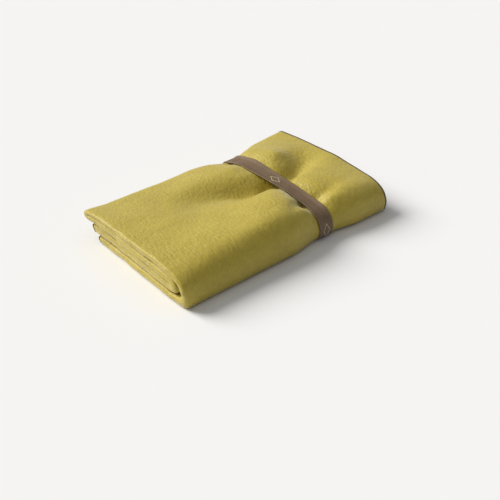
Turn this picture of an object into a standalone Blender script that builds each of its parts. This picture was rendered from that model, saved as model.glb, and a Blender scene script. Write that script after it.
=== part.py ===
"""A folded camp blanket held together by an elastic band.

The blanket is one cut of cloth, overlocked round its edge. It is folded in half twice across its length,
and the four plies that this gives are folded in half twice again across its width, so the bundle is sixteen
plies thick. The elastic band is a sewn loop round the bundle, and it pulls the cloth into a waist.

Frame: +X runs along the bundle, from the folded end to the hemmed end. +Y runs from the near side, where the
whole bundle turns round, to the far side, where one more fold lies on top of the two long hems. +Z is up, and
the bundle rests on Z = 0.
"""

import math

import bmesh
import bpy
from mathutils import Vector
from mathutils.geometry import convex_hull_2d

MM = 0.001

# ---- Sizes of the folded bundle ----
BUNDLE_LENGTH = 290 * MM
BUNDLE_WIDTH = 185 * MM

# ---- The cloth and its overlocked edge ----
CLOTH_THICKNESS = 1.4 * MM
PLY_AIR = 1.1 * MM  # between two plies of one fold, where nothing presses on them
FOLD_AIR = 1.6 * MM  # between one four-ply fold and the next
OVERLOCK_WIDTH = 3.0 * MM
OVERLOCK_THREAD = 0.1 * MM  # stands proud of each face of the cloth
SEWN_GAP = 0.3 * MM  # keeps pieces that are sewn or pressed together apart as solids
INNER_END_SETBACK = 6 * MM  # how far the inner end hem stops short of the outer one
END_TURN_SETBACK = 5 * MM  # the same for the middle of the turn that lies between them
OUTER_SIDE_SETBACK = 14 * MM  # how far the outer side hem stops short of the fold above it
INNER_SIDE_SETBACK = 9 * MM

# ---- How the bundle is squeezed out of a plain block ----
NEAR_TURN_LONGER = 1.5  # the turned side reaches further out than a half circle
FAR_SIDE_THINNER = 0.14
WAIST_THINNER = 0.06
WAIST_NARROWER = 0.06

# ---- The elastic band ----
BAND_WIDTH = 20 * MM
BAND_THICKNESS = 1.3 * MM
BAND_FLOOR_GAP = 0.2 * MM  # the band lies this far above what the bundle rests on
BAND_TO_HEMMED_END = 94 * MM  # from the middle of the band
WAIST_MARGIN = 2.5 * MM  # of the waist's level bottom, on each side of the band
GROOVE_RAMP = 15 * MM  # the underside climbs into the band's groove over this length
WAIST_RAMP = 35 * MM  # the top and the sides climb out of the waist over this length
SPLICE_LENGTH = 18 * MM
TACK_RADIUS = 0.3 * MM
TACK_INSET = 3.5 * MM  # from the end of the splice tab to the bar tack
MARK_RADIUS = 0.3 * MM
MARK_LENGTH = 16 * MM
MARK_WIDTH = 10 * MM
MARK_SPACING = 95 * MM

# ---- Fineness of the shapes ----
OUTER_TURN_STEPS = 8
INNER_TURN_STEPS = 5
CROSS_OUTER_TURN_STEPS = 6
CROSS_INNER_TURN_STEPS = 4
LARGEST_BEND = math.radians(12)  # of the band between two of its faces
SMALLEST_BEND = math.radians(0.05)
SECTION_DIGITS = 6  # the section under the band is rounded to a micrometre
STATION_SHARES_OF_LENGTH = (-0.33, -0.15, 0.42)  # where flat plies get a row of points, from the middle
STATION_SHARES_OF_WIDTH = (-0.21, 0, 0.18, 0.36)
ZIGZAGS = 6
POINTS_PER_MARK_SIDE = 4

# ---- Worked out from the sizes above ----
PLY_PITCH = CLOTH_THICKNESS + PLY_AIR
FOLD_PITCH = 3 * PLY_PITCH + CLOTH_THICKNESS + FOLD_AIR
OVERLOCK_THICKNESS = CLOTH_THICKNESS + 2 * OVERLOCK_THREAD
MIDDLE_OF_PLIES = 1.5 * (FOLD_PITCH + PLY_PITCH)  # above the middle of the lowest ply
BAND_X = BUNDLE_LENGTH / 2 - BAND_TO_HEMMED_END
GROOVE_DEPTH = BAND_THICKNESS + SEWN_GAP + BAND_FLOOR_GAP
WAIST_FLAT = BAND_WIDTH + 2 * WAIST_MARGIN

CLOTH_GREEN = (0.50, 0.42, 0.11, 1)
OVERLOCK_BROWN = (0.10, 0.065, 0.03, 1)
BAND_BROWN = (0.13, 0.085, 0.05, 1)
MARK_CREAM = (0.62, 0.55, 0.36, 1)


def clear_scene():
    for obj in list(bpy.data.objects):
        bpy.data.objects.remove(obj)


def new_collection(name):
    collection = bpy.data.collections.new(name)
    bpy.context.scene.collection.children.link(collection)
    return collection


def material(name, colour, roughness):
    """A matt Principled material."""
    made = bpy.data.materials.new(name)
    made.use_nodes = True
    surface = made.node_tree.nodes["Principled BSDF"]
    surface.inputs["Base Color"].default_value = colour
    surface.inputs["Roughness"].default_value = roughness
    surface.inputs["Metallic"].default_value = 0
    return made


def smooth(share):
    """0 to 1 with a level start and end."""
    share = min(max(share, 0), 1)
    return share * share * (3 - 2 * share)


# ---- Folding ----


def turn(centre, level, radius, side, steps, upwards):
    """The inner points of a half turn: (along, level, normal along, normal level), with the normal outwards.

    side is -1 for a turn that bulges towards minus along, and 1 for plus.
    """
    start, end = (-math.pi / 2, math.pi / 2) if upwards else (math.pi / 2, -math.pi / 2)
    points = []
    for i in range(1, steps):
        angle = start + (end - start) * i / steps
        out = (side * math.cos(angle), math.sin(angle))
        points.append((centre + radius * out[0], level + radius * out[1], *out))
    return points


def twice_halved(pitch, closed, middle, hem, inner_hem, stations, outer_steps, inner_steps):
    """The path of a strip that is folded in half twice, from its outer hem to its inner one.

    The strip runs from the outer hem to the closed side on top, turns down to the bottom, runs to the open
    side, turns up one level, comes back, turns up inside the first turn, and ends beside its start.
    closed and middle are where the turns' centres lie, and hem and inner_hem where the strip starts and ends.
    Each point is (along, level, normal along, normal level). The normal is on the face that starts on top.
    """

    def straight(level, start, end, out):
        low, high = sorted((start, end))
        inside = sorted((s for s in stations if low < s < high), reverse=end < start)
        return [(along, level, 0, out) for along in [start, *inside, end]]

    def facing(points, sign):
        return [(along, level, sign * n, sign * m) for along, level, n, m in points]

    top, bottom, low, high = (share * pitch for share in (1.5, -1.5, -0.5, 0.5))
    outer = turn(closed, 0, top, -1, outer_steps, upwards=False)
    between = turn(middle, -pitch, pitch / 2, 1, inner_steps, upwards=True)
    inner = turn(closed, 0, high, -1, inner_steps, upwards=True)
    return (
        straight(top, hem, closed, 1)
        + facing(outer, 1)
        + straight(bottom, closed, middle, -1)
        + facing(between, 1)
        + straight(low, middle, closed, 1)
        + facing(inner, -1)
        + straight(high, closed, inner_hem, -1)
    )


def beyond(path, near, far):
    """Two points past each end of a path, near and far from it, for what is sewn on outside its hems."""
    ends = []
    for along, level, n, m in (path[0], path[-1]):
        ends.append([(along + gap, level, n, m) for gap in (near, far)])
    return ends


def waist(x, ramp):
    """1 under the band, falling to 0 over the ramp on each side of it."""
    past = abs(x - BAND_X) - WAIST_FLAT / 2
    return 1 - smooth(past / ramp)


def settled(x, y, level):
    """Where a point of the square block of plies, at this level above its lowest ply, lies once squeezed."""
    if y < NEAR_TURN_Y:
        y = NEAR_TURN_Y + (y - NEAR_TURN_Y) * NEAR_TURN_LONGER
    thickness = 1 - FAR_SIDE_THINNER * smooth(2 * y / BUNDLE_WIDTH)
    thickness *= 1 - WAIST_THINNER * waist(x, WAIST_RAMP)
    narrowed = y * (1 - WAIST_NARROWER * waist(x, WAIST_RAMP))
    lifted = OVERLOCK_THICKNESS / 2 + level * thickness + GROOVE_DEPTH * waist(x, GROOVE_RAMP)
    return Vector((x, narrowed, lifted))


def folded(across_length, across_width):
    """The point of the cloth at these points of its two fold paths. The bundle lies on its side hems."""
    x, ply, _, _ = across_length
    along, level, normal_y, normal_z = across_width
    return settled(x, along + normal_y * ply, MIDDLE_OF_PLIES - level - normal_z * ply)


# ---- Fold paths of the cloth ----

TURN_REACH = 1.5 * PLY_PITCH + CLOTH_THICKNESS / 2  # of the outermost ply past a fold's centreline
FOLDED_END_X = -BUNDLE_LENGTH / 2 + TURN_REACH
HEM_X = BUNDLE_LENGTH / 2 - SEWN_GAP - OVERLOCK_WIDTH
NEAR_TURN_Y = -BUNDLE_WIDTH / 2 + NEAR_TURN_LONGER * (1.5 * FOLD_PITCH + TURN_REACH)
FAR_TURN_Y = BUNDLE_WIDTH / 2 - FOLD_PITCH / 2 - TURN_REACH
SEWN_WIDTH = SEWN_GAP + OVERLOCK_WIDTH
OUTER_HEM_Y = BUNDLE_WIDTH / 2 - OUTER_SIDE_SETBACK - SEWN_WIDTH
INNER_HEM_Y = BUNDLE_WIDTH / 2 - INNER_SIDE_SETBACK - SEWN_WIDTH

WAIST_EDGES = [WAIST_FLAT / 2 + past for past in (0, GROOVE_RAMP, WAIST_RAMP)]
STATIONS_X = [BAND_X - edge for edge in WAIST_EDGES] + [BAND_X + edge for edge in WAIST_EDGES]
STATIONS_X += [share * BUNDLE_LENGTH for share in STATION_SHARES_OF_LENGTH]
STATIONS_Y = [share * BUNDLE_WIDTH for share in STATION_SHARES_OF_WIDTH]

LENGTH_PATH = twice_halved(
    PLY_PITCH, FOLDED_END_X, HEM_X - END_TURN_SETBACK, HEM_X, HEM_X - INNER_END_SETBACK,
    STATIONS_X, CROSS_OUTER_TURN_STEPS, CROSS_INNER_TURN_STEPS,
)
WIDTH_PATH = twice_halved(
    FOLD_PITCH, NEAR_TURN_Y, FAR_TURN_Y, OUTER_HEM_Y, INNER_HEM_Y,
    STATIONS_Y, OUTER_TURN_STEPS, INNER_TURN_STEPS,
)


def folded_sheet(name, length_path, width_path, thickness, finish, collection):
    """A rectangle of sheet laid along two fold paths and given its thickness."""
    shape = bmesh.new()
    bmesh.ops.create_grid(
        shape, x_segments=len(length_path) - 1, y_segments=len(width_path) - 1, size=1
    )
    for vertex in shape.verts:
        column = round((vertex.co.x + 1) / 2 * (len(length_path) - 1))
        row = round((vertex.co.y + 1) / 2 * (len(width_path) - 1))
        vertex.co = folded(length_path[column], width_path[row])
    mesh = bpy.data.meshes.new(name)
    shape.to_mesh(mesh)
    shape.free()
    mesh.shade_smooth()
    mesh.materials.append(finish)
    sheet = bpy.data.objects.new(name, mesh)
    collection.objects.link(sheet)
    solidify = sheet.modifiers.new("thickness", "SOLIDIFY")
    solidify.thickness = thickness
    solidify.offset = 0
    return sheet


def blanket(collection):
    """The cloth and the overlock stitching round its four edges."""
    cloth_finish = material("blanket_cloth", CLOTH_GREEN, 0.95)
    thread_finish = material("overlock_thread", OVERLOCK_BROWN, 0.85)
    cloth = folded_sheet("blanket_cloth", LENGTH_PATH, WIDTH_PATH, CLOTH_THICKNESS, cloth_finish, collection)
    reach = (SEWN_GAP, SEWN_GAP + OVERLOCK_WIDTH)
    end_strips = beyond(LENGTH_PATH, *reach)
    side_strips = beyond(WIDTH_PATH, *reach)
    # The lengthwise stitching runs on round the corners of the cloth.
    whole_length = [end_strips[0][1], *LENGTH_PATH, end_strips[1][1]]
    runs = {
        "overlock_outer_end": (end_strips[0], WIDTH_PATH),
        "overlock_inner_end": (end_strips[1], WIDTH_PATH),
        "overlock_outer_side": (whole_length, side_strips[0]),
        "overlock_inner_side": (whole_length, side_strips[1]),
    }
    made = [cloth]
    for name, (length_path, width_path) in runs.items():
        made.append(
            folded_sheet(name, length_path, width_path, OVERLOCK_THICKNESS, thread_finish, collection)
        )
    return made


# ---- The band, drawn taut round the bundle ----


def world_points(objects):
    """The points of these objects as their modifiers leave them."""
    bpy.context.view_layer.update()
    graph = bpy.context.evaluated_depsgraph_get()
    points = []
    for obj in objects:
        evaluated = obj.evaluated_get(graph)
        mesh = evaluated.to_mesh()
        points += [evaluated.matrix_world @ vertex.co for vertex in mesh.vertices]
        evaluated.to_mesh_clear()
    return points


def section_under_band(objects):
    """The (y, z) points of the bundle under the band and just beside it, with none of them twice."""
    reach = WAIST_FLAT / 2 + SEWN_GAP
    beside = [p for p in world_points(objects) if abs(p.x - BAND_X) <= reach]
    return sorted({(round(p.y, SECTION_DIGITS), round(p.z, SECTION_DIGITS)) for p in beside})


def loop_round(points, clearance):
    """The closed line of a taut loop round (y, z) points at a clearance, from the bottom by the near side."""
    hull = [Vector(points[i]) for i in convex_hull_2d(points)]
    lowest = min(range(len(hull)), key=lambda i: hull[i].y)
    # The hull is listed anticlockwise, and the near side is clockwise from the bottom.
    corners = [hull[lowest - i] for i in range(len(hull))]
    loop = []
    for before, corner, after in zip(corners[-1:] + corners, corners, corners[1:] + corners[:1]):
        first, last = (outwards(a, b) for a, b in ((before, corner), (corner, after)))
        bend = first.angle(last)
        if bend < SMALLEST_BEND:
            continue
        steps = math.ceil(bend / LARGEST_BEND)
        for i in range(steps + 1):
            loop.append(corner + clearance * first.slerp(last, i / steps))
    return loop


def outwards(a, b):
    """The unit normal to the left of the way from a to b."""
    step = (b - a).normalized()
    return Vector((-step.y, step.x))


class Loop:
    """The band's outer face: where a distance along it lies, and which way is out."""

    def __init__(self, points):
        self.points = points + [points[0]]
        steps = [(b - a).length for a, b in zip(self.points, self.points[1:])]
        self.ends = [sum(steps[: i + 1]) for i in range(len(steps))]
        self.length = self.ends[-1]

    def at(self, distance, across, height):
        """The point at a distance round the loop, across it from its middle, and at a height above it."""
        distance %= self.length
        i = next(i for i, end in enumerate(self.ends) if distance <= end)
        a, b = self.points[i], self.points[i + 1]
        point = b - (b - a).normalized() * (self.ends[i] - distance) + outwards(a, b) * height
        return Vector((BAND_X + across, point.x, point.y))

    def furthest_out(self, side):
        """The distance at which the loop's side, -1 for near and 1 for far, stands furthest out."""
        i = max(range(len(self.ends)), key=lambda i: side * self.points[i + 1].x)
        return self.ends[i]

    def down_past(self, level):
        """The distance at which the loop comes down past this height on its far side."""
        for a, b, end in zip(self.points, self.points[1:], self.ends):
            if a.y >= level > b.y:
                return end - (b - a).length * (level - b.y) / (a.y - b.y)
        raise ValueError(f"the band doesn't reach {level}")

    def stretch(self, start, end):
        """The (y, z) points of the loop from one distance round it to another."""
        corners = [p for p, at in zip(self.points[1:], self.ends) if start < at < end]
        first, last = (Vector(self.at(distance, 0, 0).yz) for distance in (start, end))
        return [first, *corners, last]


def webbing(name, lines, finish, collection):
    """A piece of elastic of the band's width, its section bounded by these closed (y, z) lines."""
    curve = bpy.data.curves.new(name, "CURVE")
    curve.dimensions = "2D"
    curve.fill_mode = "BOTH"
    curve.extrude = BAND_WIDTH / 2
    for line in lines:
        spline = curve.splines.new("POLY")
        spline.points.add(len(line) - 1)
        for point, place in zip(spline.points, line):
            point.co = (place.x, place.y, 0, 1)
        spline.use_cyclic_u = True
    curve.materials.append(finish)
    piece = bpy.data.objects.new(name, curve)
    piece.location = (BAND_X, 0, 0)
    # The flat curve's X and Y become the frame's Y and Z.
    piece.rotation_euler = (math.pi / 2, 0, math.pi / 2)
    collection.objects.link(piece)
    return piece


def thread_object(name, points, radius, closed, finish, collection):
    """A sewn thread through these points."""
    curve = bpy.data.curves.new(name, "CURVE")
    curve.dimensions = "3D"
    curve.bevel_depth = radius
    curve.bevel_resolution = 1
    curve.use_fill_caps = not closed
    spline = curve.splines.new("POLY")
    spline.points.add(len(points) - 1)
    for point, place in zip(spline.points, points):
        point.co = (*place, 1)
    spline.use_cyclic_u = closed
    curve.materials.append(finish)
    thread = bpy.data.objects.new(name, curve)
    collection.objects.link(thread)
    return thread


def zigzag(loop, distance, height):
    """The points of a bar tack across the band, at a distance round it."""
    swing = TACK_RADIUS * 2
    reach = BAND_WIDTH / 2 - TACK_INSET
    points = []
    for i in range(2 * ZIGZAGS + 1):
        across = -reach + 2 * reach * i / (2 * ZIGZAGS)
        along = distance + (swing if i % 2 else -swing)
        points.append(loop.at(along, across, height))
    return points


def diamond(loop, distance, height):
    """The points of a plain woven diamond on the band, at a distance round it."""
    corners = [(0.5, 0), (0, 0.5), (-0.5, 0), (0, -0.5)]
    points = []
    for (along, across), (next_along, next_across) in zip(corners, corners[1:] + corners[:1]):
        for i in range(POINTS_PER_MARK_SIDE):
            share = i / POINTS_PER_MARK_SIDE
            at = distance + MARK_LENGTH * (along + (next_along - along) * share)
            side = MARK_WIDTH * (across + (next_across - across) * share)
            points.append(loop.at(at, side, height))
    return points


def band(bundle, collection):
    """The elastic loop with its splice, its bar tacks and its woven diamonds."""
    elastic = material("elastic_webbing", BAND_BROWN, 0.8)
    cream = material("cream_thread", MARK_CREAM, 0.8)
    section = section_under_band(bundle)
    on_band = SEWN_GAP + BAND_THICKNESS + SEWN_GAP
    clearances = (SEWN_GAP, SEWN_GAP + BAND_THICKNESS, on_band, on_band + BAND_THICKNESS)
    inner, outer, tab_inner, tab_outer = (Loop(loop_round(section, gap)) for gap in clearances)
    webbing("elastic_band", [inner.points[1:], outer.points[1:]], elastic, collection)

    # One end of the elastic lies over the other on the far side, where the loop is sewn shut.
    middle = (min(z for _, z in section) + max(z for _, z in section)) / 2
    top, bottom = middle + SPLICE_LENGTH / 2, middle - SPLICE_LENGTH / 2
    under, over = (
        loop.stretch(loop.down_past(top), loop.down_past(bottom)) for loop in (tab_inner, tab_outer)
    )
    webbing("band_splice_tab", [under + over[::-1]], elastic, collection)
    for number, level in enumerate((top - TACK_INSET, bottom + TACK_INSET), 1):
        points = zigzag(tab_outer, tab_outer.down_past(level), SEWN_GAP + TACK_RADIUS)
        thread_object(f"splice_bar_tack_{number}", points, TACK_RADIUS, False, elastic, collection)

    near_mark = outer.furthest_out(-1)
    for name, along in (("near", near_mark), ("top", near_mark + MARK_SPACING)):
        points = diamond(outer, along, SEWN_GAP + MARK_RADIUS)
        thread_object(f"woven_mark_{name}", points, MARK_RADIUS, True, cream, collection)


def main():
    clear_scene()
    collection = new_collection("camp_blanket")
    band(blanket(collection), collection)


main()
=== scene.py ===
"""A camp blanket folded into a bundle and held by an elastic band, shown as real folded cloth.

The cloth is one sheet laid along the same two fold paths as the CAD model, then squeezed and wrinkled.
The hems are overlocked with thread, and the woven elastic is drawn taut round the cloth.
Lengths are in millimetres until a mesh or a lamp is made from them.
"""

import math

import bmesh
import bpy
import numpy as np
from mathutils import Matrix, Vector
from mathutils.geometry import convex_hull_2d


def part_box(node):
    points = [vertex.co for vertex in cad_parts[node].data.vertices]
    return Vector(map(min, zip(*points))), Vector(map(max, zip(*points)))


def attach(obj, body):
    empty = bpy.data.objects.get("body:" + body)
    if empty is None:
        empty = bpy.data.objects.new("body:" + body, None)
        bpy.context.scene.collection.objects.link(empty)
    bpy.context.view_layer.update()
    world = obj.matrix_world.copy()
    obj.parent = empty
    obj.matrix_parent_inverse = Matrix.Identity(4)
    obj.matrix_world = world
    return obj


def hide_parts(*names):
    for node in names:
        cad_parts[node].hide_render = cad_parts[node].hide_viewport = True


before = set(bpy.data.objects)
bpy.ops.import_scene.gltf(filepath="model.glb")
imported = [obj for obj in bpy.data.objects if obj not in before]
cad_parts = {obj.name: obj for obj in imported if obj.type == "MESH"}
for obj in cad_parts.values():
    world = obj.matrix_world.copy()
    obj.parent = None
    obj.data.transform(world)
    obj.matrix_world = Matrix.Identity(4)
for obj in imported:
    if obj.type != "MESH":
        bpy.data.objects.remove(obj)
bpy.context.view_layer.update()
MM = 0.001

# ---- Sizes of the folded bundle, which are the CAD model's where nothing else is said ----
BUNDLE_LENGTH, BUNDLE_WIDTH = 290, 185
CLOTH_THICKNESS, PLY_AIR, FOLD_AIR = 1.4, 1.1, 1.6
OVERLOCK_WIDTH, OVERLOCK_THICKNESS = 3.0, 1.6
THREAD_ROOM = 0.6  # from the edge of the cloth to that of the bundle; the thread lies in it
HEM_STANDS = 0.4  # the shown thread is thicker, so it lifts the lowest ply by this much
INNER_END_SETBACK, END_TURN_SETBACK = 6, 5
OUTER_SIDE_SETBACK, INNER_SIDE_SETBACK = 14, 9
NEAR_TURN_LONGER = 1.5
BAND_WIDTH, BAND_THICKNESS = 20, 1.3
GROOVE_DEPTH, GROOVE_RAMP = 1.8, 15
WAIST_FLAT, WAIST_RAMP = 25, 40  # the ramp is a little longer than the CAD model's

PLY_PITCH = CLOTH_THICKNESS + PLY_AIR
FOLD_PITCH = 3 * PLY_PITCH + CLOTH_THICKNESS + FOLD_AIR
MIDDLE_OF_PLIES = 1.5 * (FOLD_PITCH + PLY_PITCH)
BLOCK_HEIGHT = 2 * MIDDLE_OF_PLIES  # from the middle of the lowest ply to that of the highest
band_low, band_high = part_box("elastic_band")
BAND_X = (band_low[0] + band_high[0]) / 2 / MM

TURN_REACH = 1.5 * PLY_PITCH + CLOTH_THICKNESS / 2
FOLDED_END_X = -BUNDLE_LENGTH / 2 + TURN_REACH
HEM_X = BUNDLE_LENGTH / 2 - THREAD_ROOM
NEAR_TURN_Y = -BUNDLE_WIDTH / 2 + NEAR_TURN_LONGER * (1.5 * FOLD_PITCH + TURN_REACH)
FAR_TURN_Y = BUNDLE_WIDTH / 2 - FOLD_PITCH / 2 - TURN_REACH
OUTER_HEM_Y = BUNDLE_WIDTH / 2 - OUTER_SIDE_SETBACK - THREAD_ROOM
INNER_HEM_Y = BUNDLE_WIDTH / 2 - INNER_SIDE_SETBACK - THREAD_ROOM


def rise(value, start, end):
    """0 up to the start and 1 from the end on, with a smooth way between. The end may be the lower one."""
    share = np.clip((value - start) / (end - start), 0, 1)
    return share * share * (3 - 2 * share)


def steps(points):
    """The distance from each point of a line to the next, in the first two coordinates."""
    return np.hypot(*np.diff(points[:, :2], axis=0).T)


def distances(points):
    """How far along a line each of its points lies."""
    return np.concatenate([[0], np.cumsum(steps(points))])


def unit(vectors):
    return vectors / np.maximum(np.linalg.norm(vectors, axis=-1, keepdims=True), 1e-9)


# ---- Fold paths ----


def even(step):
    """Stations about this far apart."""
    return lambda start, end: np.linspace(start, end, max(2, round(abs(end - start) / step) + 1))


def finer_at_ends(fine, coarse, zone):
    """Stations that are fine apart within the zone at each end, and coarse apart between."""

    def stations(start, end):
        way = math.copysign(1, end - start)
        first = start + way * np.arange(0, zone, fine)
        last = end - way * np.arange(0, zone, fine)[::-1]
        between = even(coarse)(start + way * zone, end - way * zone)
        return np.concatenate([first, between, last])

    return stations


def turn(centre, level, radius, side, parts, upwards, roundness):
    """The inner points of a half turn: (along, level, normal along, normal level).

    The turn is round at a roundness of 1, and squarer below that.
    """
    start, end = (-math.pi / 2, math.pi / 2) if upwards else (math.pi / 2, -math.pi / 2)
    angle = start + (end - start) * np.arange(1, parts) / parts
    out = np.stack([side * np.cos(angle), np.sin(angle)], axis=1)
    place = np.sign(out) * np.abs(out) ** roundness
    return np.concatenate([np.array([centre, level]) + radius * place, out], axis=1)


def twice_halved(pitch, closed, middle, hem, inner_hem, spacings, parts, roundness):
    """The path of a strip that is folded in half twice, from its outer hem to its inner one.

    Two of its turns lie at the closed side, one inside the other, and one lies at the open side.
    """

    def straight(level, start, end, out, spacing):
        along = spacing(start, end)
        return np.stack([along, *(np.full_like(along, v) for v in (level, 0, out))], axis=1)

    top, bottom, low, high = (share * pitch for share in (1.5, -1.5, -0.5, 0.5))
    inner = turn(closed, 0, high, -1, parts[2], True, roundness)
    inner[:, 2:] *= -1
    return np.concatenate([
        straight(top, hem, closed, 1, spacings[0]),
        turn(closed, 0, top, -1, parts[0], False, roundness),
        straight(bottom, closed, middle, -1, spacings[1]),
        turn(middle, -pitch, pitch / 2, 1, parts[1], True, roundness),
        straight(low, middle, closed, 1, spacings[2]),
        inner,
        straight(high, closed, inner_hem, -1, spacings[3]),
    ])


# ---- How the block of plies is squeezed, slumped and wrinkled ----

# The height of the top of the bundle, on a coarse grid of places along it and across it.
HEIGHT_X = (-145, -95, -45, 10, 51, 95, 145)
HEIGHT_Y = (-92, -70, -50, -20, 15, 50, 75, 92)
HEIGHTS = np.array([
    (33.0, 35.5, 37.5, 38.5, 39.0, 38.0, 35.5, 33.0),
    (35.0, 40.0, 41.0, 39.0, 38.5, 37.5, 35.0, 32.0),
    (36.0, 43.0, 43.0, 39.0, 38.0, 39.0, 35.5, 32.0),
    (37.0, 45.5, 46.0, 41.0, 40.0, 42.5, 38.0, 31.5),
    (35.0, 39.5, 41.5, 41.5, 42.5, 42.5, 37.5, 28.0),
    (34.5, 40.0, 42.5, 41.0, 42.0, 43.0, 39.5, 34.0),
    (32.0, 34.0, 37.0, 40.0, 41.0, 41.0, 40.5, 39.5),
])
# How far the band presses the top in, at the same places across it. The cloth rises from it on both sides.
PRESS = np.array([6.0, 9.0, 9.3, 6.0, 4.0, 3.5, 4.0, 3.0])
PRESS_FLAT, PRESS_REACH = 7, 11
# Small folds fan out from both edges of the band, highest at this distance from its middle.
FAN_PLACE, FAN_REACH, FAN_WAVE, FAN_HEIGHT = 16, 13, 3.1, 0.25

# How far out the near turn reaches at each share of the height, against a half ellipse.
SLUMP_SHARE = (0, 0.04, 0.12, 0.25, 0.4, 0.6, 0.75, 0.85, 0.92, 1)
SLUMP = np.array([2.3, 1.95, 1.36, 1.06, 0.94, 0.88, 0.89, 0.92, 0.96, 1.05])
# That turn opens: its inner folds grow by a share of their radius, and the plies of the outer wrap
# move by a share of the way to its outer face.
INNER_FOLDS_OPEN, OUTER_WRAP_OPENS = 0.1, 0.35

# How far the lowest ply is set back at the far side, and how much more at the folded end.
SET_BACK, SET_BACK_MORE = 5, 7
# The waist draws in each side by a share of its distance from the middle, and the far edge by 5 mm more.
NEAR_DRAWN_IN, FAR_DRAWN_IN, FAR_EDGE_DRAWN_IN = 0.055, 0.085, 5
# The folded end leans by this much over its height, and by as much again at its far side.
FOLDED_END_LEANS = 2.5
# Plies near this share of the height are lifted at the folded end, so that the top fold there is thin.
# The lift is a share of the height too, and there is more of it at the far side.
LIP_PLACE, LIP_SPREAD, LIP_NEAR, LIP_FAR_MORE = 0.64, 0.27, 0.05, 0.11

# Grooves and ridges in the top: points (x, y, height, half width on the far side, on the near side).
CREASES = (
    ((-110, 48, 0, 26, 34), (-70, 34, -2.2, 25, 30), (-25, 18, -7.5, 19, 22), (10, 3, -13.8, 17, 15),
     (35, -6, -14.5, 16, 10), (51, -7, -9.5, 15, 8), (66, -5, -12.5, 13, 9), (86, -1, -13.0, 13, 11),
     (104, 7, -7.0, 13, 16), (126, 18, -1.4, 17, 18), (146, 30, 0, 20, 22)),
    ((-40, -30, 0, 18, 22), (0, -30, 2.0, 14, 22), (38, -20, 3.0, 9, 16), (61, -17, 1.6, 8, 11),
     (86, -18, 0.6, 10, 14), (110, -12, 0, 14, 16)),
    ((4, -74, 0, 8, 9), (24, -64, -3.0, 6, 7), (42, -56, -5.0, 5, 6), (60, -54, -5.6, 5, 6),
     (75, -58, -3.6, 6, 7), (95, -64, 0, 8, 9)),
    ((20, 76, 0, 8, 8), (38, 66, -3.4, 6, 6), (56, 62, -2.4, 6, 6), (66, 60, 0, 6, 6)),
    ((62, 36, 0, 18, 12), (84, 34, 5.4, 24, 12), (104, 42, 1.2, 22, 16), (125, 56, 0, 20, 20)),
    ((-25, -46, 0, 18, 20), (14, -42, 2.2, 14, 18), (32, -38, 1.6, 12, 16), (44, -36, 0, 10, 12)),
    ((55, -54, 0, 9, 9), (68, -53, -3.0, 11, 8), (90, -54, -2.4, 13, 9), (112, -52, -0.8, 14, 10),
     (130, -50, 0, 14, 12)),
)


def knot_weights(knots, at):
    """How much the value at each knot counts at these places, for a smooth curve through all of them."""
    knots = np.array(knots, float)
    at = np.clip(at, knots[0], knots[-1])
    i = np.clip(np.searchsorted(knots, at) - 1, 0, len(knots) - 2)
    width = knots[i + 1] - knots[i]
    t = (at - knots[i]) / width
    each = np.eye(len(knots))
    slopes = np.gradient(each, knots, axis=0)
    change = (t * t * (3 - 2 * t))[..., None]
    leave = (width * t * (1 - t) ** 2)[..., None]
    arrive = (width * t * t * (t - 1))[..., None]
    return each[i] * (1 - change) + each[i + 1] * change + slopes[i] * leave + slopes[i + 1] * arrive


def crease(x, y, points):
    """The height that a groove or ridge along these points adds."""
    added = np.zeros_like(x)
    for (ax, ay, ah, *a_widths), (bx, by, bh, *b_widths) in zip(points, points[1:]):
        t = ((x - ax) * (bx - ax) + (y - ay) * (by - ay)) / ((bx - ax) ** 2 + (by - ay) ** 2)
        t = np.clip(t, 0, 1)
        off_x, off_y = x - ax - t * (bx - ax), y - ay - t * (by - ay)
        far, near = (a + t * (b - a) for a, b in zip(a_widths, b_widths))
        away = np.hypot(off_x, off_y)
        side = 0.5 + 0.5 * off_y / np.maximum(away, 1e-6)
        height = (ah + t * (bh - ah)) * np.exp(-((away / (near + (far - near) * side)) ** 2))
        added = np.where(np.abs(height) > np.abs(added), height, added)
    return added


WAVES = 14  # in each field of ripples


def ripples(u, v, wavelength, seed):
    """A smooth random field of about -1 to 1."""
    random = np.random.default_rng(seed)
    total = np.zeros_like(u)
    for _ in range(WAVES):
        way = random.uniform(0, math.tau)
        number = math.tau / (wavelength * random.uniform(0.7, 1.6))
        total += np.sin(number * (u * math.cos(way) + v * math.sin(way)) + random.uniform(0, math.tau))
    return total / math.sqrt(WAVES)


def waist(x, ramp):
    """1 under the band, falling to 0 over the ramp on each side of it."""
    return 1 - rise(np.abs(x - BAND_X), WAIST_FLAT / 2, WAIST_FLAT / 2 + ramp)


def top_height(x, y):
    """The height of the top of the bundle over (x, y)."""
    along, across = knot_weights(HEIGHT_X, x), knot_weights(HEIGHT_Y, y)
    height = np.einsum("...i,...j,ij->...", along, across, HEIGHTS)
    beside = np.abs(x - BAND_X)
    pressed = np.exp(-((np.clip(beside - PRESS_FLAT, 0, None) / PRESS_REACH) ** 2))
    height -= pressed * (across @ PRESS)
    for points in CREASES:
        height += crease(x, y, points)
    fan = np.exp(-(((beside - FAN_PLACE) / FAN_REACH) ** 2))
    height += FAN_HEIGHT * fan * np.sin(y / FAN_WAVE + 1.5 * ripples(x, y, wavelength=60, seed=11))
    height += 0.45 * ripples(x, y, wavelength=70, seed=12) + 0.16 * ripples(x, y, wavelength=26, seed=13)
    return height


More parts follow.
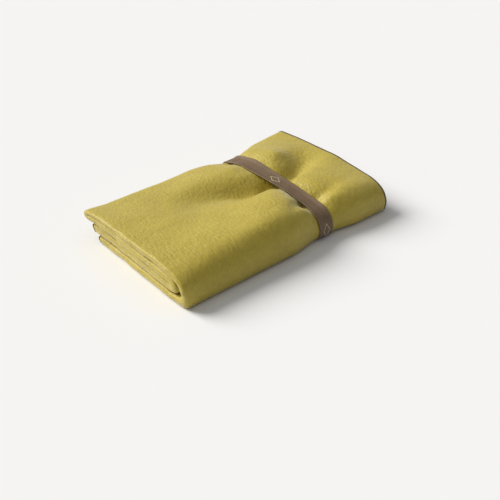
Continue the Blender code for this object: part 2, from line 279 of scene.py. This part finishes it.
def near_turn(y, level):
    """Opens the near turn into an outer wrap and an inner pair of folds, and lets it slump.

    It then stands upright on the floor under a rounded shoulder.
    """
    out, over = np.clip(NEAR_TURN_Y - y, 0, None), level - MIDDLE_OF_PLIES
    radius = np.hypot(out, over)
    outermost = MIDDLE_OF_PLIES + CLOTH_THICKNESS / 2
    moved = np.where(
        radius < FOLD_PITCH, INNER_FOLDS_OPEN * radius, OUTER_WRAP_OPENS * (outermost - radius)
    )
    steer = 1 + moved / np.maximum(radius, 1e-6) * (out / np.maximum(radius, 1e-6)) ** 2
    out, level = out * steer, MIDDLE_OF_PLIES + over * np.where(out > 0, steer, 1)
    longer = NEAR_TURN_LONGER * (knot_weights(SLUMP_SHARE, level / BLOCK_HEIGHT) @ SLUMP)
    return np.where(y < NEAR_TURN_Y, NEAR_TURN_Y - out * longer, y), level


def end_folds(x, y, level):
    """The loose folds at both ends: how far they move along the bundle, and up as a share of its height.

    They loosen from x = -112 towards the folded end, and from x = 118 towards the hemmed one.
    """
    left, right = rise(x, -112, -142), rise(x, 118, 143)
    fold, share = level / FOLD_PITCH, level / BLOCK_HEIGHT
    along = 0.7 * ripples(y, fold * 55, wavelength=110, seed=21)
    along = left * (along + 0.25 * ripples(y, fold * 30, wavelength=24, seed=22) + 0.9)
    lean = left * (1 - share) * (FOLDED_END_LEANS + FOLDED_END_LEANS * rise(y, -60, 60))
    along_right = right * (0.9 * ripples(y, fold * 20, wavelength=90, seed=23) - 0.4)
    wander = 0.012 * ripples(y, fold * 30, wavelength=110, seed=24)
    wander = wander + 0.005 * ripples(y, fold * 20, wavelength=22, seed=25)
    lip = (LIP_NEAR + LIP_FAR_MORE * rise(y, 10, 80)) * np.exp(-(((share - LIP_PLACE) / LIP_SPREAD) ** 2))
    up = left * (np.sin(math.pi * np.clip(share, 0, 1)) * wander + lip)
    return along + lean + along_right, up


def settled(x, y, level):
    """Where points of the square block of plies, at levels above its lowest ply, lie in the bundle."""
    y, level = near_turn(y, level)
    share = level / BLOCK_HEIGHT
    # The lower folds are set back at the far side, most of all at the folded end.
    set_back = (SET_BACK + SET_BACK_MORE * rise(x, -60, -145)) * rise(y, 30, 80)
    y = y - set_back * (1 - share) * (1 - 0.3 * share)
    # The waist, with the far edge drawn in most.
    drawn_in = waist(x, WAIST_RAMP)
    y = y * (1 - np.where(y < 0, NEAR_DRAWN_IN, FAR_DRAWN_IN) * drawn_in)
    y = y - FAR_EDGE_DRAWN_IN * drawn_in * rise(y, 45, 90)

    along, up = end_folds(x, y, level)
    x, share = x + along, share + up
    floor = GROOVE_DEPTH * waist(x, GROOVE_RAMP)
    top = top_height(x, y) - OVERLOCK_THICKNESS
    z = OVERLOCK_THICKNESS / 2 + HEM_STANDS + floor + share * (top - floor)
    return np.stack([x, y, z], axis=-1)


def folded(length_points, width_points):
    """The points of the cloth at these points of its two fold paths."""
    x, ply = length_points[..., 0], length_points[..., 1]
    along, level, normal_y, normal_z = np.moveaxis(width_points, -1, 0)
    return settled(x + 0 * along, along + normal_y * ply, MIDDLE_OF_PLIES - level - normal_z * ply)


ENDS = finer_at_ends(2.6, 12, 26)
LENGTH_PATH = twice_halved(
    PLY_PITCH, FOLDED_END_X, HEM_X - END_TURN_SETBACK, HEM_X, HEM_X - INNER_END_SETBACK,
    (even(2.6), ENDS, ENDS, ENDS), (12, 6, 7), 0.62,
)
WIDTH_PATH = twice_halved(
    FOLD_PITCH, NEAR_TURN_Y, FAR_TURN_Y, OUTER_HEM_Y, INNER_HEM_Y,
    (even(5), even(2.5), even(5.5), even(5.5)), (26, 10, 8), 1,
)


# ---- Meshes ----


def mesh_object(name, points, faces, material):
    """A smooth mesh from points in millimetres."""
    mesh = bpy.data.meshes.new(name)
    mesh.from_pydata((np.asarray(points) * MM).tolist(), [], [list(face) for face in faces])
    mesh.shade_smooth()
    mesh.materials.append(material)
    made = bpy.data.objects.new(name, mesh)
    bpy.context.scene.collection.objects.link(made)
    return made


def grid_faces(rows, columns, around=False, closed=False):
    """The faces of a grid of points, which may close round its columns and round its rows."""
    last_row, last_column = rows if closed else rows - 1, columns if around else columns - 1
    i, j = (a.ravel() for a in np.meshgrid(np.arange(last_row), np.arange(last_column), indexing="ij"))
    ni, nj = (i + 1) % rows, (j + 1) % columns
    return np.stack([i * columns + j, i * columns + nj, ni * columns + nj, ni * columns + j], axis=1)


def lay_out(mesh, name, u, v):
    """Gives each point of a grid its place along u and v, in metres, as a UV map."""
    spots = np.stack(np.broadcast_arrays(u[:, None], v[None, :]), axis=-1).reshape(-1, 2) * MM
    corners = np.empty(len(mesh.loops), np.int32)
    mesh.loops.foreach_get("vertex_index", corners)
    mesh.uv_layers.new(name=name).data.foreach_set("uv", spots[corners].ravel().astype(np.float32))


def closed_up(mesh):
    """Fills the open ends of a tube, if it has any, and turns its faces outwards."""
    shape = bmesh.new()
    shape.from_mesh(mesh)
    bmesh.ops.holes_fill(shape, edges=[edge for edge in shape.edges if edge.is_boundary], sides=0)
    bmesh.ops.recalc_face_normals(shape, faces=shape.faces)
    shape.to_mesh(mesh)
    shape.free()
    mesh.shade_smooth()


# ---- Materials ----


class Shader:
    """A Principled material and short ways to add nodes to it."""

    def __init__(self, name):
        self.material = bpy.data.materials.new(name)
        self.material.use_nodes = True
        self.nodes = self.material.node_tree.nodes
        self.links = self.material.node_tree.links
        self.surface = self.nodes["Principled BSDF"]
        self.surface.inputs["Metallic"].default_value = 0

    def node(self, kind, sources=(), **settings):
        made = self.nodes.new(kind)
        for key, value in settings.items():
            setattr(made, key, value)
        for key, value in dict(sources).items():
            if isinstance(value, bpy.types.NodeSocket):
                self.links.new(value, made.inputs[key])
            else:
                made.inputs[key].default_value = value
        return made

    def set(self, **values):
        for key, value in values.items():
            socket = self.surface.inputs[key.replace("_", " ")]
            if isinstance(value, bpy.types.NodeSocket):
                self.links.new(value, socket)
            else:
                socket.default_value = value

    def mapped(self, coordinates, scale):
        return self.node("ShaderNodeMapping", {"Vector": coordinates, "Scale": scale}).outputs["Vector"]

    def noise(self, coordinates, scale, detail, rough):
        return self.node(
            "ShaderNodeTexNoise",
            {"Vector": coordinates, "Scale": scale, "Detail": detail, "Roughness": rough},
        ).outputs["Fac"]

    def ramp(self, value, stops):
        """Colours for a value, between two stops."""
        made = self.node("ShaderNodeValToRGB", {"Fac": value})
        for element, (at, colour) in zip(made.color_ramp.elements, stops):
            element.position = at
            element.color = (*colour, 1)
        return made.outputs["Color"]

    def multiply(self, a, b):
        mix = self.node("ShaderNodeMix", data_type="RGBA", blend_type="MULTIPLY")
        mix.inputs["Factor"].default_value = 1
        for socket, value in zip([s for s in mix.inputs if s.type == "RGBA"], (a, b)):
            self.links.new(value, socket)
        return next(s for s in mix.outputs if s.type == "RGBA")

    def bump(self, height, distance, strength, over=None):
        made = self.node("ShaderNodeBump", {"Height": height, "Distance": distance, "Strength": strength})
        if over is not None:
            self.links.new(over, made.inputs["Normal"])
        return made.outputs["Normal"]


def grey(value):
    return (value, value, value)


def cloth_material():
    """Brushed microfibre: a short tufted nap over a fine rib, with soft darker and lighter patches."""
    s = Shader("brushed_cloth")
    spot = s.node("ShaderNodeTexCoord").outputs["Object"]
    flat = s.node("ShaderNodeUVMap", uv_map="flat_cut").outputs["UV"]
    nap = s.noise(s.mapped(flat, (1, 0.28, 1)), 900, 4, 0.65)
    rib = s.noise(s.mapped(flat, (1, 0.10, 1)), 420, 2, 0.5)
    tuft = s.noise(s.mapped(flat, (1, 0.55, 1)), 360, 2, 0.5)
    stroked = s.noise(spot, 26, 3, 0.55)
    worn = s.noise(spot, 130, 2, 0.6)
    colour = s.ramp(stroked, [(0.30, (0.470, 0.360, 0.026)), (0.70, (0.522, 0.404, 0.038))])
    colour = s.multiply(colour, s.ramp(worn, [(0.35, grey(0.93)), (0.65, grey(1.0))]))
    colour = s.multiply(colour, s.ramp(nap, [(0.32, grey(0.84)), (0.62, grey(1.05))]))
    normal = s.bump(tuft, 0.0012, 0.8)
    normal = s.bump(rib, 0.0005, 0.4, over=normal)
    normal = s.bump(nap, 0.0005, 0.7, over=normal)
    s.set(Base_Color=colour, Roughness=0.52, Specular_IOR_Level=0.55, Normal=normal)
    s.set(Sheen_Weight=0.34, Sheen_Roughness=0.45, Sheen_Tint=(1.0, 0.98, 0.86, 1))
    return s.material


def thread_material(name, dark, light, twist):
    s = Shader(name)
    spot = s.node("ShaderNodeTexCoord").outputs["Object"]
    fibre = s.noise(spot, twist, 3, 0.6)
    s.set(Base_Color=s.ramp(fibre, [(0.3, dark), (0.7, light)]), Roughness=0.75)
    s.set(Normal=s.bump(fibre, 0.0002, 0.5), Sheen_Weight=0.25, Sheen_Roughness=0.4)
    return s.material


def elastic_material():
    """Woven elastic: weft yarns across the ribs."""
    s = Shader("woven_elastic")
    spot = s.node("ShaderNodeTexCoord").outputs["Object"]
    strip = s.node("ShaderNodeUVMap", uv_map="strip").outputs["UV"]
    weft = s.node(
        "ShaderNodeTexWave",
        {"Vector": strip, "Scale": 190.0, "Distortion": 0.6, "Detail": 1.0, "Detail Scale": 30.0},
        wave_type="BANDS", bands_direction="X",
    ).outputs["Fac"]
    fibre = s.noise(spot, 1500, 3, 0.6)
    patch = s.noise(spot, 60, 2, 0.5)
    colour = s.ramp(patch, [(0.3, (0.160, 0.100, 0.052)), (0.7, (0.200, 0.126, 0.068))])
    colour = s.multiply(colour, s.ramp(weft, [(0.0, grey(0.72)), (0.6, grey(1.08))]))
    colour = s.multiply(colour, s.ramp(fibre, [(0.3, grey(0.8)), (0.7, grey(1.1))]))
    normal = s.bump(weft, 0.0003, 0.6)
    normal = s.bump(fibre, 0.0002, 0.4, over=normal)
    s.set(Base_Color=colour, Roughness=0.50, Specular_IOR_Level=0.8, Normal=normal)
    s.set(Specular_Tint=(1.0, 0.88, 0.74, 1), Sheen_Weight=0.05, Sheen_Roughness=0.4)
    return s.material


cloth_finish = cloth_material()
overlock_finish = thread_material("overlock_thread", (0.050, 0.030, 0.014), (0.115, 0.072, 0.038), 1200)
elastic_finish = elastic_material()
tack_finish = thread_material("tack_thread", (0.07, 0.04, 0.02), (0.13, 0.08, 0.045), 1500)
mark_finish = thread_material("cream_thread", (0.52, 0.45, 0.28), (0.74, 0.66, 0.46), 1500)


# ---- The cloth ----


def make_cloth():
    points = folded(LENGTH_PATH[:, None, :], WIDTH_PATH[None, :, :])
    rows, columns = points.shape[:2]
    made = mesh_object("blanket", points.reshape(-1, 3), grid_faces(rows, columns), cloth_finish)
    lay_out(made.data, "flat_cut", distances(LENGTH_PATH), distances(WIDTH_PATH))
    solid = made.modifiers.new("thickness", "SOLIDIFY")
    solid.thickness = CLOTH_THICKNESS * MM
    solid.offset = 0
    return made


# ---- The overlocked hems ----

STITCH_PITCH = 2.4
SAMPLES_PER_STITCH = 5
SECTION_POINTS = 10
STITCH_BULGE = 0.16
STITCH_SLANT = 0.9  # how far the stitches' phase turns from the hem's edge to its faces, in radians
THREAD_THICKER = 0.22  # than the CAD model's thread, on each face
THREAD_PAST_EDGE = 0.4  # of the cloth
INSIDE_EDGE = 2.5  # where a second line shows which way the cloth lies


def resampled(path, step):
    """The path again, with points about a step apart."""
    at = distances(path)
    even_at = np.linspace(0, at[-1], round(at[-1] / step) + 1)
    values = np.stack([np.interp(even_at, at, path[:, k]) for k in range(4)], axis=1)
    values[:, 2:] = unit(values[:, 2:])
    return values


def overlock(name, edge, inside):
    """Thread wrapped round a hem. edge and inside are lines of points on it and a little inside it."""
    inwards = unit(inside - edge)
    run = unit(np.gradient(edge, axis=0))
    over = unit(np.cross(run, inwards))
    centre = edge + inwards * (OVERLOCK_WIDTH / 2 - THREAD_PAST_EDGE)
    step = np.linalg.norm(np.diff(edge, axis=0), axis=1)
    distance = np.concatenate([[0], np.cumsum(step)])
    angle = math.tau * np.arange(SECTION_POINTS) / SECTION_POINTS
    phase = math.tau * distance[:, None] / STITCH_PITCH + STITCH_SLANT * np.sin(angle)[None, :]
    bulge = STITCH_BULGE * np.sin(phase)
    flatness = np.sign(np.cos(angle)) * np.abs(np.cos(angle)) ** 0.75
    sideways = (OVERLOCK_WIDTH / 2 + bulge) * flatness
    upwards = (OVERLOCK_THICKNESS / 2 + THREAD_THICKER + bulge) * np.sin(angle)
    points = centre[:, None] + sideways[..., None] * inwards[:, None] + upwards[..., None] * over[:, None]
    made = mesh_object(
        name, points.reshape(-1, 3), grid_faces(len(edge), SECTION_POINTS, around=True), overlock_finish
    )
    closed_up(made.data)
    return made


def make_overlocks():
    """The pieces by the names of the CAD nodes that they replace."""
    step = STITCH_PITCH / SAMPLES_PER_STITCH
    along_length, along_width = resampled(LENGTH_PATH, step), resampled(WIDTH_PATH, step)
    inwards = np.array([INSIDE_EDGE, 0, 0, 0])
    made = {}
    for which, end in (("outer", 0), ("inner", -1)):
        hem = LENGTH_PATH[end]
        lines = (folded(spot, along_width) for spot in (hem, hem - inwards))
        made[f"overlock_{which}_end"] = overlock(f"hem_{which}_end", *lines)
        hem = WIDTH_PATH[end]
        lines = (folded(along_length, spot) for spot in (hem, hem - inwards))
        made[f"overlock_{which}_side"] = overlock(f"hem_{which}_side", *lines)
    return made


# ---- The elastic band ----

BAND_STATIONS = (-10, -5, 0, 5, 10)
MIDDLE_STATION = 2
STATION_REACH = 3.2  # points of the cloth this close to a station count there
FINE_POINTS = 4000  # round the line of the cloth
BAND_POINTS = 300  # round the surface that the band lies on
BAND_COLUMNS = 37  # across the band
LOOP_FINER = 1.4  # times as many points round the band as round that surface
BAND_CORDS, CORD_HEIGHT = 9, 0.128
EDGE_THINNER = 0.45  # share of the thickness
BAND_CLEARANCE = 0.25  # above the cloth
THREAD_CLEARANCE = 0.06  # above the band
TAB_CLEARANCE = 0.14  # above the level of the threads
TACK_CLEARANCE = 0.2  # above the same level and the thickness of the tab
SPLICE_LENGTH, SPLICE_START = 18, 2  # from the furthest point of the band
TACK_INSET, TACK_HALF_LENGTH, TACK_SPACING, TACK_REACH, TACK_SLANT = 3.5, 7, 0.5, 0.9, 0.2
TACK_RADIUS, MARK_RADIUS = 0.26, 0.24
MARK_LENGTH, MARK_WIDTH, MARK_SPACING = 15, 9, 95
MARK_STITCH = 0.42  # the spacing of its stitches, and half their length


def shown_points(obj):
    evaluated = obj.evaluated_get(bpy.context.evaluated_depsgraph_get())
    mesh = evaluated.to_mesh()
    points = np.empty(len(mesh.vertices) * 3, np.float32)
    mesh.vertices.foreach_get("co", points)
    evaluated.to_mesh_clear()
    return points.reshape(-1, 3).astype(float) / MM


def taut_loop(section):
    """The convex line round (y, z) points, evenly spaced. It starts below and first passes the near side."""
    hull = np.array([section[i] for i in convex_hull_2d([tuple(p) for p in section])])
    area = np.sum(hull[:, 0] * np.roll(hull[:, 1], -1) - np.roll(hull[:, 0], -1) * hull[:, 1])
    if area > 0:
        hull = hull[::-1]
    closed = np.vstack([hull, hull[:1]])
    at = distances(closed)
    fine = np.linspace(0, at[-1], FINE_POINTS, endpoint=False)
    loop = np.stack([np.interp(fine, at, closed[:, k]) for k in (0, 1)], axis=1)
    low = np.where(loop[:, 1] < loop[:, 1].mean(), np.abs(loop[:, 0]), np.inf)
    return np.roll(loop, -int(np.argmin(low)), axis=0)


def band_surface(points):
    """The face of the bundle under the band: points round the loop, at places across it."""
    loops = []
    for station in BAND_STATIONS:
        near = points[np.abs(points[:, 0] - BAND_X - station) < STATION_REACH]
        loops.append(taut_loop(near[:, 1:]))
    loops = np.stack(loops, axis=1)  # round, station, (y, z)
    # Elastic takes a rounder line than a thread would.
    reach = 45
    kernel = np.hanning(2 * reach + 1)
    kernel /= kernel.sum()
    padded = np.concatenate([loops[-reach:], loops, loops[:reach]])
    softened = np.apply_along_axis(lambda line: np.convolve(line, kernel, "valid"), 0, padded)
    # The last step is a longer one, in the straight stretch under the bundle.
    return softened[:: len(softened) // BAND_POINTS][:BAND_POINTS]


class Strip:
    """A surface round the bundle that pieces of elastic lie on."""

    def __init__(self, loops):
        self.loops = loops
        self.middle = loops[:, MIDDLE_STATION]
        self.length = float(steps(np.vstack([self.middle, self.middle[:1]])).sum())

    def distance_to(self, row):
        """How far round the surface a row of its points lies."""
        return int(row) / BAND_POINTS * self.length

    def at(self, distance, across):
        """Points of the surface and its outward normals there."""
        distance, across = np.broadcast_arrays(distance, across)
        row = distance / self.length * len(self.loops)
        column = knot_weights(BAND_STATIONS, across)

        def place(row, column):
            low = np.floor(row).astype(int)
            part = (row - low)[..., None, None]
            behind, ahead = (self.loops[which % len(self.loops)] for which in (low, low + 1))
            return np.einsum("...i,...ik->...k", column, behind * (1 - part) + ahead * part)

        yz = place(row, column)
        ahead, behind = place(row + 1, column), place(row - 1, column)
        run = unit(ahead - behind)
        normal = np.stack([np.zeros_like(run[..., 0]), -run[..., 1], run[..., 0]], axis=-1)
        points = np.concatenate([(BAND_X + across)[..., None], yz], axis=-1)
        return points, normal


def webbing(name, strip, start, end, lift, closed):
    """A piece of woven elastic on the strip, from one distance round it to another."""
    count = round((end - start) / strip.length * BAND_POINTS * LOOP_FINER)
    along = np.linspace(start, end, count, endpoint=not closed)
    across = np.linspace(-1, 1, BAND_COLUMNS)
    cords = CORD_HEIGHT * np.cos(math.pi * BAND_CORDS * across)
    edge = 1 - EDGE_THINNER * np.abs(across) ** 14
    middle = lift + BAND_THICKNESS / 2
    outer = middle + (BAND_THICKNESS / 2) * edge + cords
    inner = middle - (BAND_THICKNESS / 2) * edge
    profile = np.concatenate([outer, inner[::-1]])
    sideways = np.concatenate([across, across[::-1]]) * BAND_WIDTH / 2
    points, normal = strip.at(along[:, None], sideways[None, :])
    points = points + normal * profile[None, :, None]
    columns = len(profile)
    made = mesh_object(
        name, points.reshape(-1, 3), grid_faces(count, columns, around=True, closed=closed), elastic_finish
    )
    lay_out(made.data, "strip", along, sideways)
    closed_up(made.data)
    return made


def stitches(name, ends, radius, material):
    """Short stitches of thread, each a tube that dips into the cloth at both ends."""
    sides, knots = 7, np.linspace(-1, 1, 7)
    angle = math.tau * np.arange(sides) / sides
    points, faces = [], []
    for start, end, normal in ends:
        run = unit(end - start)
        beside = unit(np.cross(run, normal))
        first = len(points) * sides * len(knots)
        height = (1 - knots**4) * radius * 1.1 - 0.5 * radius
        middle = start + (end - start) * (knots[:, None] + 1) / 2 + normal * height[:, None]
        thick = radius * (1 - 0.6 * knots**6)
        ring = np.cos(angle)[:, None] * beside + np.sin(angle)[:, None] * normal
        points.append((middle[:, None] + thick[:, None, None] * ring[None]).reshape(-1, 3))
        faces += (grid_faces(len(knots), sides, around=True) + first).tolist()
        faces.append([first + i for i in range(sides)][::-1])
        faces.append([first + (len(knots) - 1) * sides + i for i in range(sides)])
    return mesh_object(name, np.concatenate(points), faces, material)


def woven_diamond(name, strip, distance, lift):
    """A plain diamond in satin stitch."""
    corners = np.array([(0.5, 0), (0, 0.5), (-0.5, 0), (0, -0.5)]) * (MARK_LENGTH, MARK_WIDTH)
    ends = []
    for a, b in zip(corners, np.roll(corners, -1, axis=0)):
        run = unit(b - a)
        out = np.array([run[1], -run[0]])
        for share in np.arange(0, 1, MARK_STITCH / np.linalg.norm(b - a)):
            place = a + (b - a) * share
            pair = [place - out * MARK_STITCH, place + out * MARK_STITCH]
            (p, n), (q, _) = (strip.at(distance + spot[0], spot[1]) for spot in pair)
            ends.append((p + n * lift, q + n * lift, n))
    return stitches(name, ends, MARK_RADIUS, mark_finish)


def bar_tack(name, strip, distance, lift):
    """A row of close zigzag stitches across the elastic."""
    ends = []
    for across in np.arange(-TACK_HALF_LENGTH, TACK_HALF_LENGTH, TACK_SPACING):
        (p, n), (q, _) = (
            strip.at(distance + side, across + side * TACK_SLANT) for side in (-TACK_REACH, TACK_REACH)
        )
        ends.append((p + n * lift, q + n * lift, n))
    return stitches(name, ends, TACK_RADIUS, tack_finish)


def make_band(cloth_points):
    """The pieces by the names of the CAD nodes that they replace."""
    strip = Strip(band_surface(cloth_points))
    face = BAND_CLEARANCE + BAND_THICKNESS + THREAD_CLEARANCE
    over = face + BAND_THICKNESS + TACK_CLEARANCE
    far, near = (strip.distance_to(furthest(strip.middle[:, 0])) for furthest in (np.argmax, np.argmin))
    start = far + SPLICE_START
    end = start + SPLICE_LENGTH
    return {
        "elastic_band": webbing("elastic_loop", strip, 0, strip.length, BAND_CLEARANCE, closed=True),
        "band_splice_tab": webbing("splice_tab", strip, start, end, face + TAB_CLEARANCE, closed=False),
        "splice_bar_tack_1": bar_tack("bar_tack_1", strip, start + TACK_INSET, over),
        "splice_bar_tack_2": bar_tack("bar_tack_2", strip, end - TACK_INSET, over),
        "woven_mark_near": woven_diamond("diamond_near", strip, near, face),
        "woven_mark_top": woven_diamond("diamond_top", strip, near + MARK_SPACING, face),
    }


# ---- Building it ----

cloth = make_cloth()
hems = make_overlocks()
bpy.context.view_layer.update()
bundle_points = np.concatenate([shown_points(piece) for piece in (cloth, *hems.values())])
band_pieces = make_band(bundle_points)

for node, piece in {"blanket_cloth": cloth, **hems, **band_pieces}.items():
    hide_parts(node)
    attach(piece, "blanket" if piece is cloth or node in hems else "band")


# ---- Floor, light and camera ----

FLOOR_HALF_SIZE = 12000
# Each lamp: name, strength, the angle that it looks wide in degrees, and the way that its light goes.
LAMPS = (
    ("key", 3.95, 34, (0.52, -1.0, -0.81)),
    ("overhead", 0.40, 100, (0.1, -0.1, -1.0)),
)
SURROUNDINGS = 0.21  # the strength of the light from all round

# The camera's angles in degrees, its distance in metres and its lens in millimetres.
CAMERA_AZIMUTH, CAMERA_ELEVATION, CAMERA_DISTANCE, CAMERA_LENS = -41.0, 33.7, 0.870, 56.4
# It aims above the origin, and this far to the right and down in the view, in metres.
AIM_HEIGHT, AIM_RIGHT, AIM_DOWN = 0.0193, 0.0122, 0.0455


def make_floor():
    s = Shader("floor")
    s.set(Base_Color=(0.86, 0.86, 0.86, 1), Roughness=1.0, Specular_IOR_Level=0)
    low, high = -FLOOR_HALF_SIZE, FLOOR_HALF_SIZE
    corners = [(low, low, 0), (high, low, 0), (high, high, 0), (low, high, 0)]
    floor = mesh_object("floor", corners, [(0, 1, 2, 3)], s.material)


def make_light():
    for name, energy, degrees, towards in LAMPS:
        lamp = bpy.data.lights.new(name, "SUN")
        lamp.energy = energy
        lamp.angle = math.radians(degrees)
        lamp.color = (1.0, 0.985, 0.96)
        placed = bpy.data.objects.new(name, lamp)
        placed.rotation_euler = Vector(towards).to_track_quat("-Z", "Y").to_euler()
        bpy.context.scene.collection.objects.link(placed)
    world = bpy.data.worlds.new("studio")
    world.use_nodes = True
    background = world.node_tree.nodes["Background"]
    background.inputs["Color"].default_value = (0.97, 0.98, 1.0, 1)
    background.inputs["Strength"].default_value = SURROUNDINGS
    bpy.context.scene.world = world


def make_camera():
    azimuth, elevation = math.radians(CAMERA_AZIMUTH), math.radians(CAMERA_ELEVATION)
    level = math.cos(elevation)
    back = Vector((math.sin(azimuth) * level, -math.cos(azimuth) * level, math.sin(elevation)))
    right = Vector((math.cos(azimuth), math.sin(azimuth), 0))
    up = back.cross(right)
    target = Vector((0, 0, AIM_HEIGHT)) + right * AIM_RIGHT - up * AIM_DOWN
    data = bpy.data.cameras.new("camera")
    data.lens = CAMERA_LENS
    data.sensor_width = 36
    data.clip_start = 0.01
    camera = bpy.data.objects.new("camera", data)
    turned = Matrix((right, up, back)).transposed().to_4x4()
    camera.matrix_world = Matrix.Translation(target + back * CAMERA_DISTANCE) @ turned
    bpy.context.scene.collection.objects.link(camera)
    bpy.context.scene.camera = camera


make_floor()
make_light()
make_camera()
bpy.context.scene.view_settings.view_transform = "Standard"
